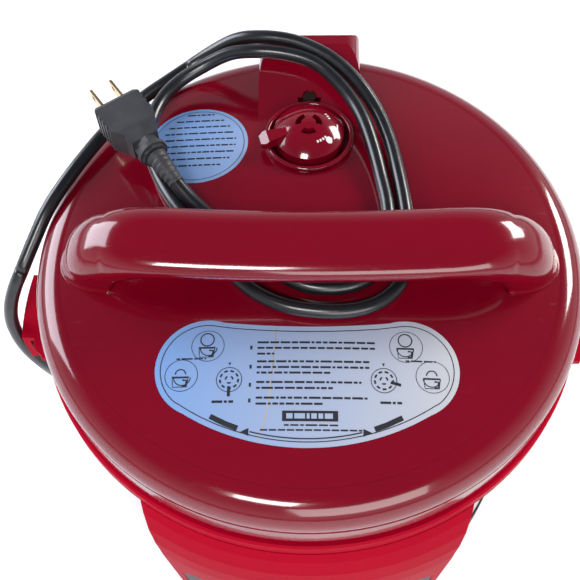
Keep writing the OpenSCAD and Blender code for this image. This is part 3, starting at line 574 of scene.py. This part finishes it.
# Sizes of the printed marks are in millimetres.
LABEL_R = 112.2                           # the front label's outer edge, about the lid's middle
LABEL_END_X, LABEL_END_Y, LABEL_END_R = 50, -74.5, 22.8
LABEL_TOP_Y, LABEL_TOP_R = 306.3, 361.8   # its inner edge, a wide arc about a point behind the lid


def label_edge():
    """A line just inside the bean-shaped edge of the front label."""
    outer = round_path(0, 0, LABEL_R, 236, 304, 32)
    right_end = round_path(LABEL_END_X, LABEL_END_Y, LABEL_END_R, -56, 94, 28)
    inner = [(x, LABEL_TOP_Y - math.sqrt(LABEL_TOP_R ** 2 - x * x)) for x in range(36, -37, -12)]
    left_end = round_path(-LABEL_END_X, LABEL_END_Y, LABEL_END_R, 86, 236, 28)
    return outer + right_end[1:] + inner + left_end[:-1]


def cooker_sign(marks, x, y, side, lid_off):
    """A ring round a small cooker, with its lid off or on."""
    marks.arc(x, y, 8.2, 0, 360, 0.3)
    marks.arc(x - side * 0.5, y - 1, 4.2, 180, 360, 0.5)
    marks.stroke([(x - 4.6, y - 1), (x + 3.8, y - 1)], 0.9)
    marks.stroke([(x - 4.4, y - 1), (x - 4, y - 6), (x + 3, y - 6), (x + 3.6, y - 1)], 0.4)
    marks.stroke([(x + 0.8, y - 2.4), (x + 2.8, y - 2.6), (x + 2.5, y - 5.4), (x + 0.6, y - 5.6)], 0.9)
    if lid_off:
        marks.arc(x - 0.4, y + 3.4, 3.4, 0, 360, 0.6)
    else:
        marks.arc(x - 0.4, y + 0.6, 2.6, 0, 180, 0.6)


def valve_dial(marks, x, y, pointer):
    """The steam valve's knob from above, with its fin at the pointer's angle."""
    marks.arc(x, y, 6.3, 0, 360, 0.35)
    for a in range(20, 380, 40):
        marks.arc(x, y, 4.5, a, a + 24, 0.9)
    for a in (30, 150, 270):
        marks.arc(x, y, 1.8, a - 30, a + 30, 0.8)
    marks.arrow(x, y + 8.9, -90, 1.6)
    c, s = math.cos(math.radians(pointer)), math.sin(math.radians(pointer))
    marks.stroke([(x + 3.4 * c, y + 3.4 * s), (x + 8.6 * c, y + 8.6 * s)], 1.5)


def front_label_print():
    marks = Marks(on_dome(0.00008))
    marks.stroke(label_edge(), 0.45, True)
    for side in (-1, 1):
        cooker_sign(marks, side * 49.5, -63, side, True)
        cooker_sign(marks, side * 62, -78.5, side, False)
        valve_dial(marks, side * 38, -81, 270 if side < 0 else -15)
        marks.words(side * 41 - 5, side * 41 + 5.5, -92.3, 1.2, 4)
        marks.words(side * 57 - 8, side * 57 + 7, -69.8 if side < 0 else -70.5, 0.8, 6)
        marks.stroke([(side * 33, -105.6), (side * 39, -103.3), (side * 46.5, -99.6)], 2.6)
        marks.arrow(side * 27.5, -107.4, 180 if side < 0 else 0, 4.2)
    for y, x1, seed in ((-61.4, 34, 1), (-64.4, 34, 5), (-67.5, -16, 2), (-71.6, 31, 7), (-74.6, 31, 3),
                        (-77.5, 12, 9), (-82.4, 27, 2), (-85.4, 14, 6), (-90.4, 30, 8), (-93.4, 8, 4)):
        marks.words(-24.5, x1, y, 1.05, seed)
    for y in (-64.2, -74.4, -83.8, -91.8):
        marks.stroke([(-27.6, y - 1), (-27.6, y + 1)], 1.1)
    marks.stroke([(-11.5, -99.5), (15.5, -99.5)], 5.2)
    marks.words(-10.5, 15.5, -104, 0.8, 3)
    marks.words(-22, 27, -106.4, 0.8, 5)
    marks.stroke([(x, -math.sqrt(110.6 ** 2 - x * x)) for x in range(-27, 28, 3)], 0.6)
    marks.build("label_front_print", PRINT)


def front_label_bar():
    """Pale dashes on the dark bar of the front label."""
    marks = Marks(on_dome(0.00014))
    marks.words(-9.5, 14, -99.5, 2.6, 8)
    marks.build("label_front_bar_marks", LABEL)


def front_label_crease():
    marks = Marks(on_dome(0.00006))
    marks.stroke([(-15.4, -53.5), (-15.8, -64), (-17.2, -80), (-18, -92), (-20.5, -104), (-23, -112)], 0.5)
    marks.build("label_front_crease", CREASE)


def side_label_print():
    marks = Marks(on_dome(0.00008))
    for y, half in ((92, 8), (87, 14), (82, 18), (77, 20), (72, 22), (67, 22), (62, 21), (57, 19), (52, 14)):
        marks.words(-64 - half, -64 + half, y, 1.1, y % 11)
    marks.arc(-64, 68, 26.8, 0, 360, 0.35)
    marks.build("label_side_print", PRINT)


def knob_print():
    marks = Marks(on_knob)
    marks.disc(11.5, 60.5, 2.0)
    marks.arc(0, 70, 16.2, -22, 8, 0.7)
    marks.arrow(15.0, 63.8, -112, 2.4)
    for a in (-68, -60, -52, -44, 22, 30, 38):
        marks.arc(0, 70, 12.6, a, a + 4.5, 1.3)
    marks.build("knob_marks", PRINT_WHITE, "knob")


def control_panel_print():
    """Dashes under the six keys and beside the display, its frame, and a row of rings."""
    marks = Marks(on_panel)
    for column, turn in enumerate((-17, 0, 17)):
        x = math.radians(turn) * 163
        for row, z in enumerate((88, 68)):
            marks.words(x - 6, x + 6.5, z - 9.6, 0.8, 3 + column + 4 * row)
    for first, last in ((-58, -50), (57.5, 65.5)):
        for k, z in enumerate((117, 124, 131)):
            marks.words(first, last, z, 0.7, k + 2)
    marks.stroke([(-33.5, 104), (33.5, 104), (33.5, 144), (-33.5, 144)], 0.4, True)
    for k in range(5):
        marks.arc(-20 + 10 * k, 58.6, 1.1 + 0.2 * (k % 2), 0, 360, 0.4)
    marks.build("control_panel_print", PRINT_WHITE, "base")


front_label_print()
front_label_bar()
front_label_crease()
side_label_print()
knob_print()
control_panel_print()


# ------------------------------------------------------------------ floor and light
FLOOR_HALF = 60
SKY = ((0.0, (0.95, 0.95, 0.97)), (0.35, (0.55, 0.56, 0.62)), (0.75, (0.10, 0.11, 0.15)))

corners = [(-FLOOR_HALF, -FLOOR_HALF, 0), (FLOOR_HALF, -FLOOR_HALF, 0),
           (FLOOR_HALF, FLOOR_HALF, 0), (-FLOOR_HALF, FLOOR_HALF, 0)]
floor_mat = surface("floor_pale", (0.9, 0.9, 0.91), 0.7, 2, 0.01, 0.03)
floor = new_mesh("floor", corners, [(0, 1, 2, 3)], floor_mat, False)


def area_light(name, at, target, size, size_y, power, color):
    data = bpy.data.lights.new(name, "AREA")
    data.shape = "RECTANGLE"
    data.size, data.size_y, data.energy, data.color = size, size_y, power, color
    obj = bpy.data.objects.new(name, data)
    obj.location = at
    obj.rotation_euler = (Vector(target) - Vector(at)).to_track_quat("-Z", "Y").to_euler()
    scene.collection.objects.link(obj)


area_light("sky_left", (-1.5, 0.7, 1.0), (0, 0, 0.2), 1.2, 1.0, 30, (0.86, 0.90, 1.0))
area_light("sun_right", (1.3, 0.9, 1.1), (0, 0, 0.2), 0.7, 0.5, 26, (1.0, 0.95, 0.90))
area_light("key_over", (-0.4, -1.4, 2.0), (0, 0, 0.2), 0.6, 0.5, 24, (1.0, 0.98, 0.96))
area_light("fill_front", (0.6, -2.0, 1.2), (0, 0, 0.15), 1.6, 1.0, 26, (1.0, 0.98, 0.96))


def soft_sky():
    """Pale sky light that darkens upwards."""
    world = bpy.data.worlds.new("soft_sky")
    scene.world = world
    world.use_nodes = True
    nodes, links = world.node_tree.nodes, world.node_tree.links
    split = nodes.new("ShaderNodeSeparateXYZ")
    links.new(nodes.new("ShaderNodeTexCoord").outputs["Generated"], split.inputs[0])
    ramp = color_ramp(nodes, SKY)
    links.new(split.outputs["Z"], ramp.inputs["Fac"])
    links.new(ramp.outputs["Color"], nodes["Background"].inputs["Color"])
    nodes["Background"].inputs["Strength"].default_value = 0.9


soft_sky()
scene.view_settings.view_transform = "Standard"
